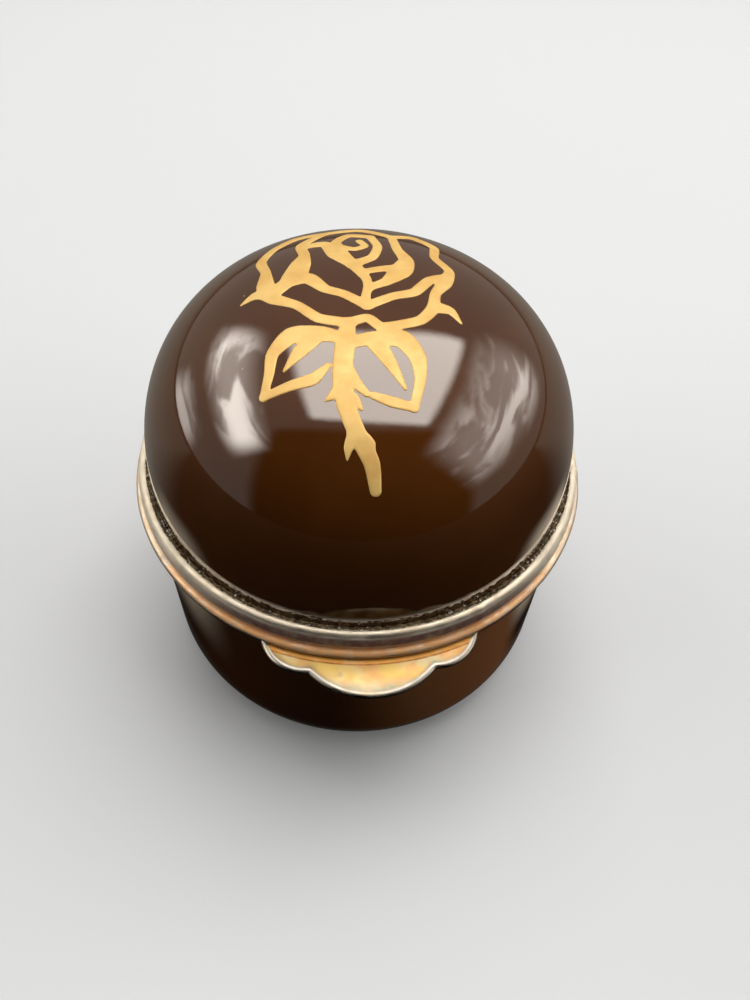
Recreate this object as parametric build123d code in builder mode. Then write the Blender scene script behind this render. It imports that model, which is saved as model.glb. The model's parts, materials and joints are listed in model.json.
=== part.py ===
"""Hinged porcelain trinket box: a glazed dome on a glazed cup, joined by gilt-brass mounts.

Millimetres. The origin is the centre of the foot, on the table. +Z is up, the thumb tab is at -Y
and the hinge is at +Y. Round pieces are sections in the XZ plane, turned about the Z axis.
"""

import os
from math import cos, pi, radians, sin

from build123d import *

os.makedirs("parts", exist_ok=True)

# Driving dimensions
cup_radius = 24.3  # outside of the porcelain cup
dome_radius = 23.65  # outside of the porcelain dome at its mouth
dome_top_z = 51.7  # overall height
closing_z = 26.9  # where the two mounts meet
sheet = 0.6  # brass sheet of the mounts
porcelain = 2.4  # porcelain wall
bed = 0.25  # cement between porcelain and brass
shut_gap = 0.05  # air between the closed mounts

# Cup
foot_rounding = 6.25
foot_width = 2.2
foot_recess = 0.8
cup_floor = 3.4
cup_inner_rounding = 5.5
cup_rim_rounding = 0.7
foot_inner_rounding = 0.3
cup_bore = cup_radius - porcelain
cup_rim_z = closing_z - sheet - bed
foot_outer = cup_radius - foot_rounding
foot_inner = foot_outer - foot_width

# Base mount
base_mount_radius = 24.95
skirt_bottom_z = closing_z - 1.6
skirt_rounding = 0.25
cement_recess = 0.1  # how far the cement stops short inside the skirt
skirt_bore = cup_radius + 0.15
guide_outer = 20.75
guide_inner = guide_outer - 0.5
guide_bottom_z = closing_z - 3.0
guide_top_z = closing_z + 1.5
guide_rounding = 0.2

# Lid mount: a flat tab ring under a wall rolled with a small bead and, above it, a taller one
tab_ring_z = closing_z + shut_gap
tab_ring_radius = 25.45
lid_opening = 21.25
lid_mount_z = tab_ring_z + sheet
lid_mount_bore = dome_radius + 0.4
lower_bead_size = 0.5
lower_bead_centre = (25.13, lid_mount_z + lower_bead_size)
ledge_z = lid_mount_z + 2 * lower_bead_size
upper_bead_foot = (24.88, ledge_z)
upper_bead_side = (25.06, ledge_z + 1.1)
upper_bead_shoulder = (24.74, ledge_z + 2.2)
upper_bead_brim = (lid_mount_bore, ledge_z + 2.4)
dome_rim_z = lid_mount_z + sheet + bed
cement_top_z = ledge_z + 2.15

# Dome
dome_widest_z = 29.5
dome_fullness = 2.6  # exponent of the superellipse: 2 is round, more is fuller at the shoulders
dome_steps = 10
dome_rim_rounding = 0.4

# Thumb tab, in plan: half angles from the front, and radii from the box's axis
tip_angle = 25.9
tip_radius = tab_ring_radius - 0.1
side_lobe_angle = 18.9
side_lobe_radius = 27.5
cusp_angle = 13.4
cusp_radius = 27.42
tab_reach = 29.55
cusp_rounding = 0.4
tip_reach = 0.5  # the tips meet the ring at most this far behind their ends
tab_edge = 0.2

# Hinge, along X behind the mounts
hinge_y = 27.75
hinge_z = closing_z + shut_gap / 2
barrel_radius = 1.4
barrel_half = 7.0
centre_knuckle_half = 1.5
lid_knuckle_length = 2.8
knuckle_gap = 0.1
pin_radius = 0.5
fixed_bore = pin_radius + 0.02
running_bore = pin_radius + 0.05
pin_head_radius = 0.85
pin_head = 0.4
pin_head_rounding = 0.3
channel_radius = barrel_radius + 0.06
lip_radius = barrel_radius + 0.65
web_height = 1.52
web_angle = 130.0
web_back_y = 22.0
mount_wall_inside = 24.6
open_angle = 100.0
lid_lip_angle = 50.0
base_lip_angle = lid_lip_angle - open_angle - 1.0
seat_gap_angle = 2.0

# Catch, at the front
catch_width = 5.0
catch_slit = 0.1
catch_depth = 4.0  # how deep the blocks that cut the slot, the tongue and the nib reach
tongue_root_z = closing_z - 1.8
tongue_ridge = 0.15
ridge_z = closing_z + 0.95
ridge_height = 0.5
nib_width = catch_width - 1.0
nib_bottom = tab_ring_z + 0.1
nib_reach = 0.27
nib_height = 0.4

lid_knuckle_start = centre_knuckle_half + knuckle_gap
lid_knuckle_end = lid_knuckle_start + lid_knuckle_length
end_knuckle_start = lid_knuckle_end + knuckle_gap
lid_knuckle_spans = [(-lid_knuckle_end, -lid_knuckle_start), (lid_knuckle_start, lid_knuckle_end)]
base_knuckle_spans = [
    (-barrel_half, -end_knuckle_start),
    (-centre_knuckle_half, centre_knuckle_half),
    (end_knuckle_start, barrel_half),
]


def superellipse(radius, height):
    """Points of a quarter superellipse, from its widest point up to its pole on the axis."""
    points = []
    for step in range(dome_steps + 1):
        angle = (pi / 2) * step / dome_steps
        across = radius * max(cos(angle), 0.0) ** (2 / dome_fullness)
        up = height * sin(angle) ** (2 / dome_fullness)
        points.append((across, dome_widest_z + up))
    points[-1] = (0.0, dome_widest_z + height)
    return points


def in_plan(angle, radius):
    """The point at this angle from the front, seen from above, at this distance from the axis."""
    return (radius * sin(radians(angle)), -radius * cos(radians(angle)))


def save(piece, name):
    """Label a finished piece and write its STEP file."""
    piece.part.label = name
    export_step(piece.part, f"parts/{name}.step")


# The porcelain cup, with a raised foot ring under it
with BuildPart() as base_bowl:
    with BuildSketch(Plane.XZ):
        with BuildLine():
            Polyline(
                (0, cup_floor),
                (0, foot_recess),
                (foot_inner, foot_recess),
                (foot_inner, 0),
                (foot_outer, 0),
            )
            CenterArc((foot_outer, foot_rounding), foot_rounding, -90, 90)
            Polyline(
                (cup_radius, foot_rounding),
                (cup_radius, cup_rim_z),
                (cup_bore, cup_rim_z),
                (cup_bore, cup_floor + cup_inner_rounding),
            )
            inner_corner = (cup_bore - cup_inner_rounding, cup_floor + cup_inner_rounding)
            CenterArc(inner_corner, cup_inner_rounding, -90, 90)
            Line((cup_bore - cup_inner_rounding, cup_floor), (0, cup_floor))
        make_face()
    revolve(axis=Axis.Z)
    fillet(base_bowl.edges().filter_by(GeomType.CIRCLE).group_by(Axis.Z)[-1], cup_rim_rounding)
    foot_edges = base_bowl.edges().filter_by(GeomType.CIRCLE).group_by(Axis.Z)[0]
    fillet(foot_edges.sort_by(SortBy.RADIUS)[0], foot_inner_rounding)
save(base_bowl, "base_bowl")

# The bed between the cup's rim and its mount
with BuildPart() as base_cement:
    with BuildSketch(Plane.XZ):
        with BuildLine():
            Polyline(
                (cup_bore, cup_rim_z),
                (cup_radius, cup_rim_z),
                (cup_radius, skirt_bottom_z + cement_recess),
                (skirt_bore, skirt_bottom_z + cement_recess),
                (skirt_bore, cup_rim_z + bed),
                (cup_bore, cup_rim_z + bed),
                close=True,
            )
        make_face()
    revolve(axis=Axis.Z)
save(base_cement, "base_cement")

# The slim mount around the cup's mouth: a flat top with a short skirt outside the porcelain
with BuildPart() as base_bezel:
    with BuildSketch(Plane.XZ):
        with BuildLine():
            Polyline(
                (guide_outer, closing_z - sheet),
                (skirt_bore, closing_z - sheet),
                (skirt_bore, skirt_bottom_z),
                (base_mount_radius, skirt_bottom_z),
                (base_mount_radius, closing_z),
                (guide_outer, closing_z),
                close=True,
            )
        make_face()
    revolve(axis=Axis.Z)
    fillet(base_bezel.faces().sort_by(Axis.Z)[0].edges().sort_by(SortBy.RADIUS)[-1], skirt_rounding)
save(base_bezel, "base_bezel")

# The thin band that stands up inside the base mount and centres the shut lid
with BuildPart() as guide_collar:
    with BuildSketch(Plane.XZ):
        with BuildLine():
            Polyline(
                (guide_inner, guide_bottom_z),
                (guide_outer, guide_bottom_z),
                (guide_outer, guide_top_z),
                (guide_inner, guide_top_z),
                close=True,
            )
        make_face()
    revolve(axis=Axis.Z)
    fillet(guide_collar.edges().filter_by(GeomType.CIRCLE).group_by(Axis.Z)[-1], guide_rounding)
    with Locations((0, -guide_outer, tongue_root_z)):
        Box(
            catch_width + 2 * catch_slit,
            catch_depth,
            guide_top_z,
            align=(Align.CENTER, Align.CENTER, Align.MIN),
            mode=Mode.SUBTRACT,
        )
save(guide_collar, "guide_collar")

# The spring tongue in the front slot of the guide collar, with the ridge that the lid snaps over
with BuildPart() as catch_spring:
    with BuildSketch(Plane.XZ):
        with BuildLine():
            Polyline(
                (guide_inner, tongue_root_z),
                (guide_outer, tongue_root_z),
                (guide_outer, ridge_z - ridge_height / 2),
            )
            ThreePointArc(
                (guide_outer, ridge_z - ridge_height / 2),
                (guide_outer + tongue_ridge, ridge_z),
                (guide_outer, ridge_z + ridge_height / 2),
            )
            Polyline(
                (guide_outer, ridge_z + ridge_height / 2),
                (guide_outer, guide_top_z),
                (guide_inner, guide_top_z),
                (guide_inner, tongue_root_z),
            )
        make_face()
    revolve(axis=Axis.Z)
    with Locations((0, -guide_outer, tongue_root_z)):
        Box(
            catch_width,
            catch_depth,
            guide_top_z,
            align=(Align.CENTER, Align.CENTER, Align.MIN),
            mode=Mode.INTERSECT,
        )
save(catch_spring, "catch_spring")

# The flat ring under the beads, whose front runs out into the three-lobed thumb tab
with BuildPart() as tab_ring:
    with BuildSketch(Plane.XY.offset(tab_ring_z)) as tab_plan:
        Circle(tab_ring_radius)
        with BuildLine():
            ThreePointArc(
                in_plan(-cusp_angle, cusp_radius),
                (0, -tab_reach),
                in_plan(cusp_angle, cusp_radius),
            )
            for side in (-1, 1):
                ThreePointArc(
                    in_plan(side * cusp_angle, cusp_radius),
                    in_plan(side * side_lobe_angle, side_lobe_radius),
                    in_plan(side * tip_angle, tip_radius),
                )
            Line(in_plan(-tip_angle, tip_radius), in_plan(tip_angle, tip_radius))
        make_face()
        Circle(lid_opening, mode=Mode.SUBTRACT)
        tips_y = in_plan(tip_angle, tip_radius)[1]
        corners = tab_plan.vertices().filter_by(lambda corner: corner.Y < tips_y + tip_reach)
        fillet(corners, cusp_rounding)
    extrude(amount=sheet)
    rim_edges = tab_ring.edges().group_by(Axis.Z)[0] + tab_ring.edges().group_by(Axis.Z)[-1]
    fillet(rim_edges.filter_by(lambda edge: edge.bounding_box().max.Y < 0), tab_edge)
save(tab_ring, "tab_ring")

# The mount around the dome's mouth: a seat for the porcelain and a wall rolled with two beads
with BuildPart() as lid_bezel:
    with BuildSketch(Plane.XZ):
        with BuildLine():
            Polyline(
                (lid_mount_bore, lid_mount_z + sheet),
                (lid_opening, lid_mount_z + sheet),
                (lid_opening, lid_mount_z),
                (lower_bead_centre[0], lid_mount_z),
            )
            lower_bead = CenterArc(lower_bead_centre, lower_bead_size, -90, 180)
            Line(lower_bead @ 1, upper_bead_foot)
            upper_bead = ThreePointArc(upper_bead_foot, upper_bead_side, upper_bead_shoulder)
            TangentArc(upper_bead_shoulder, upper_bead_brim, tangent=upper_bead % 1)
            Line(upper_bead_brim, (lid_mount_bore, lid_mount_z + sheet))
        make_face()
    revolve(axis=Axis.Z)
save(lid_bezel, "lid_bezel")

# The bed that holds the dome in its mount, filled almost to the bead's brim
with BuildPart() as lid_cement:
    with BuildSketch(Plane.XZ):
        with BuildLine():
            Polyline(
                (dome_radius - porcelain, dome_rim_z - bed),
                (lid_mount_bore, dome_rim_z - bed),
                (lid_mount_bore, cement_top_z),
                (dome_radius, cement_top_z),
                (dome_radius, dome_rim_z),
                (dome_radius - porcelain, dome_rim_z),
                close=True,
            )
        make_face()
    revolve(axis=Axis.Z)
save(lid_cement, "lid_cement")

# The porcelain dome
with BuildPart() as lid_dome:
    outer_height = dome_top_z - dome_widest_z
    inner_radius = dome_radius - porcelain
    with BuildSketch(Plane.XZ):
        with BuildLine():
            Line((dome_radius, dome_rim_z), (dome_radius, dome_widest_z))
            Spline(superellipse(dome_radius, outer_height), tangents=[(0, 1), (-1, 0)])
            Line((0, dome_top_z), (0, dome_top_z - porcelain))
            Spline(superellipse(inner_radius, outer_height - porcelain), tangents=[(0, 1), (-1, 0)])
            Polyline(
                (inner_radius, dome_widest_z),
                (inner_radius, dome_rim_z),
                (dome_radius, dome_rim_z),
            )
        make_face()
    revolve(axis=Axis.Z)
    fillet(lid_dome.edges().filter_by(GeomType.CIRCLE).group_by(Axis.Z)[0], dome_rim_rounding)
save(lid_dome, "lid_dome")

# The nib inside the lid mount, under the tongue's ridge when the box is shut
with BuildPart() as catch_nib:
    with BuildSketch(Plane.XZ):
        with BuildLine():
            Line((lid_opening, nib_bottom), (lid_opening, nib_bottom + nib_height))
            ThreePointArc(
                (lid_opening, nib_bottom),
                (lid_opening - nib_reach, nib_bottom + nib_height / 2),
                (lid_opening, nib_bottom + nib_height),
            )
        make_face()
    revolve(axis=Axis.Z)
    with Locations((0, -lid_opening, tab_ring_z)):
        Box(nib_width, catch_depth, catch_depth, mode=Mode.INTERSECT)
save(catch_nib, "catch_nib")


def knuckles(spans, bore):
    """Hinge barrels over these stretches of X, with this bore."""
    with BuildPart() as barrels:
        for start, end in spans:
            with BuildSketch(Plane.YZ.offset(start)):
                with Locations((hinge_y, hinge_z)):
                    Circle(barrel_radius)
                    Circle(bore, mode=Mode.SUBTRACT)
            extrude(amount=end - start)
    return barrels


def bearer(side, lip_start, lip_end, mounts, cleared_spans):
    """A solder seat for barrels: a web behind the mount and a curved stop lip round the barrels.

    Side is 1 for the lid's seat, above the barrels' axis, and -1 for the base's, below it. The lip
    runs between two angles about that axis, counted from +Y up. The seat is cut to the mounts it
    stands against, and cleared round the other half's barrels.
    """
    with BuildPart() as seat:
        with BuildSketch(Plane.YZ.offset(-barrel_half)):
            with BuildLine():
                centre = (hinge_y, hinge_z)
                inner = CenterArc(centre, barrel_radius, lip_start, lip_end - lip_start)
                outer = CenterArc(centre, lip_radius, lip_start, lip_end - lip_start)
                Line(inner @ 0, outer @ 0)
                Line(inner @ 1, outer @ 1)
            make_face()
            with BuildLine():
                near_z = hinge_z + side * shut_gap
                far_z = hinge_z + side * web_height
                far_y = hinge_y + lip_radius * cos(radians(web_angle))
                Polyline(
                    (web_back_y, near_z),
                    (hinge_y - barrel_radius, near_z),
                    (far_y, far_z),
                    (web_back_y, far_z),
                    close=True,
                )
            make_face()
            with Locations((hinge_y, hinge_z)):
                Circle(barrel_radius, mode=Mode.SUBTRACT)
        extrude(amount=2 * barrel_half)
        Cylinder(mount_wall_inside, 4 * dome_top_z, mode=Mode.SUBTRACT)
        for mount in mounts:
            add(mount.part, mode=Mode.SUBTRACT)
        for start, end in cleared_spans:
            with BuildSketch(Plane.YZ.offset(start - knuckle_gap)):
                with Locations((hinge_y, hinge_z)):
                    Circle(channel_radius)
            extrude(amount=end - start + 2 * knuckle_gap, mode=Mode.SUBTRACT)
    return seat


# The hinge's barrels: three on the base and two on the lid
base_knuckles = knuckles(base_knuckle_spans, fixed_bore)
save(base_knuckles, "base_knuckles")

lid_knuckles = knuckles(lid_knuckle_spans, running_bore)
save(lid_knuckles, "lid_knuckles")

# The pin, with its ends peened into low heads
with BuildPart() as hinge_pin:
    with BuildSketch(Plane.YZ.offset(-barrel_half - pin_head)):
        with Locations((hinge_y, hinge_z)):
            Circle(pin_radius)
    extrude(amount=2 * (barrel_half + pin_head))
    for head_x in (-barrel_half - pin_head, barrel_half):
        with BuildSketch(Plane.YZ.offset(head_x)):
            with Locations((hinge_y, hinge_z)):
                Circle(pin_head_radius)
        extrude(amount=pin_head)
    pin_ends = hinge_pin.faces().filter_by(Axis.X).group_by(Axis.X)
    fillet(pin_ends[0].edges() + pin_ends[-1].edges(), pin_head_rounding)
save(hinge_pin, "hinge_pin")

# The solder seats that carry the barrels. Their stop lips meet when the lid is fully open.
lid_hinge_bearer = bearer(
    1, lid_lip_angle, 180 - seat_gap_angle, [lid_bezel, tab_ring], base_knuckle_spans
)
save(lid_hinge_bearer, "lid_hinge_bearer")

base_hinge_bearer = bearer(-1, seat_gap_angle - 180, base_lip_angle, [base_bezel], lid_knuckle_spans)
save(base_hinge_bearer, "base_hinge_bearer")
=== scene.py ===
"""The looks of a hinged porcelain trinket box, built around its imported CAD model.

Outlines are written in millimetres and become metres in add_piece. +Z is up, the thumb tab is at -Y
and the hinge at +Y, as in the frame. Round pieces are outlines of (radius, height) turned about Z.
"""

import json
from math import cos, hypot, pi, radians, sin, tan

import bmesh
import bpy
import numpy as np
from mathutils import Matrix, Vector


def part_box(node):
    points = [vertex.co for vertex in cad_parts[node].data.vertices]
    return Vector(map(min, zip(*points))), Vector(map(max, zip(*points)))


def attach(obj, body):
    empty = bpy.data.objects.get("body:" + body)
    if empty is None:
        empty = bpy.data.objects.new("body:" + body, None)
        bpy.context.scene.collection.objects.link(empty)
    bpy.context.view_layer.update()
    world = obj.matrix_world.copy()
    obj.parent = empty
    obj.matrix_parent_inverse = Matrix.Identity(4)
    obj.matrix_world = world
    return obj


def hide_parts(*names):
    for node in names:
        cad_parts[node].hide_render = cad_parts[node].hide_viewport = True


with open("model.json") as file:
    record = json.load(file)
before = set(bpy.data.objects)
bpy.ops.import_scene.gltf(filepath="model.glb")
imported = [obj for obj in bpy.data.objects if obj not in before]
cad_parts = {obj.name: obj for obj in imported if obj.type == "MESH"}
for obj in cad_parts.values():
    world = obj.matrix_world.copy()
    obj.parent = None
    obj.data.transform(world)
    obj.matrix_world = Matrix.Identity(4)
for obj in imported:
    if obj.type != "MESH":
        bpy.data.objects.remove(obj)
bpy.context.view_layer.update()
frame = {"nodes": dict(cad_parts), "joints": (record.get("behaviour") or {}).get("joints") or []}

MM = 0.001
scene = bpy.context.scene


def box_mm(node):
    """A CAD node's lowest and highest corners at rest, in millimetres."""
    low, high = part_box(node)
    return [value / MM for value in low], [value / MM for value in high]


# Sizes read from the frame, in millimetres
dome_low, dome_high = box_mm("lid_dome")
cup_high = box_mm("base_bowl")[1]
mount_low, mount_high = box_mm("lid_bezel")
ring_low, ring_high = box_mm("tab_ring")
seat_low, seat_high = box_mm("base_bezel")
guide_high = box_mm("guide_collar")[1]
barrel_low, barrel_high = box_mm("base_knuckles")
pin_low, pin_high = box_mm("hinge_pin")
lid_barrel_high = box_mm("lid_knuckles")[1]
hinge = frame["joints"][0]["pos_m"]

# Sizes that the boxes can't give, as the design has them
porcelain_wall = 2.4
dome_widest = 29.5
dome_fullness = 2.6
sheet = 0.6
lid_opening = 21.25
groove = 0.4
mount_bore = dome_high[0] + groove
lower_size = 0.5
lower_bead = (mount_high[0] - lower_size, mount_low[2] + lower_size)
ledge = mount_low[2] + 2 * lower_size
upper_bead_foot = (lower_bead[0] - 0.25, ledge)
upper_bead_side = (lower_bead[0] - 0.07, ledge + 1.1)
upper_bead_shoulder = (lower_bead[0] - 0.39, ledge + 2.2)
upper_bead_crown = (lower_bead[0] - 0.84, mount_high[2])
upper_bead_brim = (mount_bore, ledge + 2.4)
foot_rounding = 6.25
foot_width = 2.2
foot_recess = 0.8
cup_floor = 3.4
cup_inner_rounding = 5.5

# The thumb tab in plan: half angles from the front, and radii
tip_angle = 25.9
side_lobe_angle = 18.9
side_lobe_radius = 27.5
cusp_angle = 13.4
cusp_radius = 27.42

# The hinge, along X
centre_knuckle_half = 1.5
knuckle_gap = 0.1
pin_radius = 0.5
fixed_bore = 0.52
running_bore = 0.55

ROUND = 256  # segments round a full turn


# ---------------------------------------------------------------- outlines

def arc(centre, radius, start, end, steps):
    """Points on an arc from one angle to another, in degrees from +radius up."""
    angles = [radians(start + (end - start) * step / steps) for step in range(steps + 1)]
    return [(centre[0] + radius * cos(a), centre[1] + radius * sin(a)) for a in angles]


def arc_through(first, middle, last, steps):
    """Points on the arc that runs through three points."""
    (ax, ay), (bx, by), (cx, cy) = first, middle, last
    d = 2 * (ax * (by - cy) + bx * (cy - ay) + cx * (ay - by))
    a2, b2, c2 = ax * ax + ay * ay, bx * bx + by * by, cx * cx + cy * cy
    centre_x = (a2 * (by - cy) + b2 * (cy - ay) + c2 * (ay - by)) / d
    centre_y = (a2 * (cx - bx) + b2 * (ax - cx) + c2 * (bx - ax)) / d
    angles = [np.arctan2(y - centre_y, x - centre_x) for x, y in (first, middle, last)]
    start, through, end = np.unwrap(angles)
    radius = hypot(ax - centre_x, ay - centre_y)
    turn = np.linspace(start, end, steps + 1)
    return [(centre_x + radius * cos(a), centre_y + radius * sin(a)) for a in turn]


def rounded(corners):
    """A closed outline whose corners are (radius, height, rounding)."""
    steps = 5
    points = []
    for index, (x, y, rounding) in enumerate(corners):
        here = Vector((x, y))
        if rounding == 0:
            points.append((x, y))
            continue
        before = (Vector(corners[index - 1][:2]) - here).normalized()
        after = (Vector(corners[(index + 1) % len(corners)][:2]) - here).normalized()
        half = before.angle(after) / 2
        reach = rounding / tan(half)
        centre = here + (before + after).normalized() * (rounding / sin(half))
        start = here + before * reach - centre
        end = here + after * reach - centre
        sweep = start.angle_signed(end)
        for step in range(steps + 1):
            turn = Matrix.Rotation(-sweep * step / steps, 2)
            points.append(tuple(centre + turn @ start))
    return points


def superellipse(radius, height, steps):
    """Points from the dome's pole down to its widest point."""
    points = []
    for step in range(steps + 1):
        angle = (pi / 2) * (1 - step / steps)
        across = radius * max(cos(angle), 0.0) ** (2 / dome_fullness)
        up = height * max(sin(angle), 0.0) ** (2 / dome_fullness)
        points.append((across, dome_widest + up))
    points[0] = (0.0, dome_widest + height)
    return points


# ---------------------------------------------------------------- meshes

def turned(outline, closed=True, ripple=None, segments=ROUND):
    """Turn an outline about Z. Returns its points, its faces and each face's step along the outline.

    An open outline starts and ends on the axis. Ripple gives a small offset of radius and height.
    """
    rings, points = [], []
    angles = np.linspace(0, 2 * pi, segments, endpoint=False)
    for radius, height in outline:
        if radius < 1e-6:
            rings.append([len(points)])
            points.append((0.0, 0.0, height))
            continue
        out, up = ripple(angles, radius, height) if ripple else (0.0, 0.0)
        out, up = np.broadcast_to(out, angles.shape), np.broadcast_to(up, angles.shape)
        rings.append(list(range(len(points), len(points) + segments)))
        reach = radius + out
        points.extend(zip(reach * np.cos(angles), reach * np.sin(angles), height + up))
    faces, steps = [], []
    pairs = len(rings) if closed else len(rings) - 1
    for index in range(pairs):
        lower, upper = rings[index], rings[(index + 1) % len(rings)]
        for k in range(segments):
            n = (k + 1) % segments
            below = [lower[k % len(lower)], lower[n % len(lower)]]
            above = [upper[n % len(upper)], upper[k % len(upper)]]
            faces.append(list(dict.fromkeys(below + above)))
            steps.append(index)
    return points, faces, steps


def add_piece(name, body, material, points, faces, nodes=(), sharp=None):
    """Make a mesh piece from millimetre points, on a body, in place of some CAD nodes."""
    mesh = bpy.data.meshes.new(name)
    mesh.from_pydata([tuple(c * MM for c in point) for point in points], [], faces)
    shape = bmesh.new()
    shape.from_mesh(mesh)
    bmesh.ops.recalc_face_normals(shape, faces=shape.faces)
    shape.to_mesh(mesh)
    shape.free()
    mesh.shade_smooth()
    if sharp:
        mesh.set_sharp_from_angle(angle=radians(sharp))
    for entry in material if isinstance(material, list) else [material]:
        mesh.materials.append(entry)
    piece = bpy.data.objects.new(name, mesh)
    scene.collection.objects.link(piece)
    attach(piece, body)
    if nodes:
        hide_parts(*nodes)
    return piece


def paint(piece, steps, zones):
    """Give each face the material number of its stretch of outline. Zones are (first step, number)."""
    numbers = np.zeros(len(piece.data.polygons), dtype=np.int32)
    for first, number in zones:
        numbers[np.array(steps) >= first] = number
    piece.data.polygons.foreach_set("material_index", numbers)


# ---------------------------------------------------------------- materials

def new_material(name):
    """An empty node material, its tree and its Principled shader."""
    material = bpy.data.materials.new(name)
    material.use_nodes = True
    return material, material.node_tree, material.node_tree.nodes["Principled BSDF"]


def add_node(tree, kind, inputs=None, **settings):
    """Add a shader node. An input is either a value or the socket that feeds it."""
    node = tree.nodes.new("ShaderNode" + kind)
    for key, value in settings.items():
        setattr(node, key, value)
    for key, value in (inputs or {}).items():
        if isinstance(value, bpy.types.NodeSocket):
            tree.links.new(value, node.inputs[key])
        else:
            node.inputs[key].default_value = value
    return node


def place(tree):
    """The surface point in the row frame, which moves with the piece."""
    return add_node(tree, "TexCoord").outputs["Object"]


def noise(tree, size, detail=3.0, roughness=0.55, stretch=None):
    """Cloudy noise whose features are about this many millimetres across."""
    where = place(tree)
    if stretch:
        where = vector_maths(tree, "MULTIPLY", where, stretch)
    inputs = {"Vector": where, "Scale": 1 / (size * MM), "Detail": detail, "Roughness": roughness}
    return add_node(tree, "TexNoise", inputs).outputs["Fac"]


def cells(tree, size, output="Distance"):
    """Cells about this many millimetres across: the distance to a cell's centre, or its random colour."""
    inputs = {"Vector": place(tree), "Scale": 1 / (size * MM)}
    return add_node(tree, "TexVoronoi", inputs).outputs[output]


def ramp(tree, factor, stops):
    """A smooth colour ramp. Stops are (position, colour)."""
    node = add_node(tree, "ValToRGB", {"Fac": factor})
    node.color_ramp.interpolation = "EASE"
    while len(node.color_ramp.elements) < len(stops):
        node.color_ramp.elements.new(0.5)
    for element, (position, colour) in zip(node.color_ramp.elements, stops):
        element.position = position
        element.color = (*colour, 1.0)
    return node.outputs["Color"]


def spread(tree, factor, low, high, to_low=0.0, to_high=1.0):
    """Map a value from one range to another, smoothly and held at the ends."""
    inputs = {"Value": factor, "From Min": low, "From Max": high, "To Min": to_low, "To Max": to_high}
    return add_node(tree, "MapRange", inputs, interpolation_type="SMOOTHSTEP").outputs["Result"]


def mix(tree, factor, first, second):
    """Blend two colours, or a socket and a colour."""
    def colour(value):
        return value if isinstance(value, bpy.types.NodeSocket) else (*value, 1.0)
    node = add_node(tree, "Mix", {0: factor, 6: colour(first), 7: colour(second)}, data_type="RGBA")
    return node.outputs[2]


def maths(tree, operation, first, second):
    """A sum, difference or other result of two values."""
    return add_node(tree, "Math", {0: first, 1: second}, operation=operation).outputs[0]


def product(tree, first, *others):
    """Several values multiplied together."""
    result = first
    for value in others:
        result = maths(tree, "MULTIPLY", result, value)
    return result


def vector_maths(tree, operation, first, second=(0.0, 0.0, 0.0), output="Vector"):
    """A product or other result of two vectors."""
    return add_node(tree, "VectorMath", {0: first, 1: second}, operation=operation).outputs[output]


def coordinates(tree):
    """The X, Y and Z of the surface point."""
    return add_node(tree, "SeparateXYZ", {0: place(tree)}).outputs


def bump(tree, height, distance, below=None):
    """A bump of this many millimetres, on top of another bump."""
    inputs = {"Height": height, "Distance": distance * MM}
    if below:
        inputs["Normal"] = below
    return add_node(tree, "Bump", inputs).outputs["Normal"]


def feed(tree, shader, **inputs):
    """Connect sockets, or set values, on the shader. Underscores stand for spaces in input names."""
    for key, value in inputs.items():
        socket = shader.inputs[key.replace("_", " ")]
        if isinstance(value, bpy.types.NodeSocket):
            tree.links.new(value, socket)
        else:
            socket.default_value = value


def glaze(name, deep, thin, rough=0.045):
    """Glossy glaze: a slow drift between two shades, faint orange peel and a few specks of dust."""
    material, tree, shader = new_material(name)
    drift = spread(tree, noise(tree, 14.0), 0.3, 0.7)
    cloud = mix(tree, drift, deep, thin)
    in_cell = maths(tree, "LESS_THAN", cells(tree, 3.2), 0.028)
    chosen = maths(tree, "GREATER_THAN", cells(tree, 3.2, "Color"), 0.60)
    colour = mix(tree, product(tree, in_cell, chosen, 0.55), cloud, (0.42, 0.36, 0.30))
    roughness = spread(tree, noise(tree, 4.0), 0.35, 0.75, rough, rough * 2.2)
    peel = bump(tree, noise(tree, 1.8, 2.0), 0.004)
    waves = bump(tree, noise(tree, 9.0, 1.0), 0.03, below=peel)
    feed(tree, shader, Base_Color=colour, Roughness=roughness, Normal=waves, IOR=1.6)
    feed(tree, shader, Coat_Weight=1.0, Coat_Roughness=0.03, Coat_Normal=waves)
    return material


def bisque():
    """Unglazed porcelain, on the foot ring that stands on the table."""
    material, tree, shader = new_material("bisque")
    stops = [(0.3, (0.60, 0.54, 0.45)), (0.7, (0.78, 0.74, 0.67))]
    colour = ramp(tree, noise(tree, 2.0, 5.0), stops)
    grain = bump(tree, noise(tree, 0.25, 4.0), 0.02)
    feed(tree, shader, Base_Color=colour, Roughness=0.85, Normal=grain)
    return material


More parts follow.
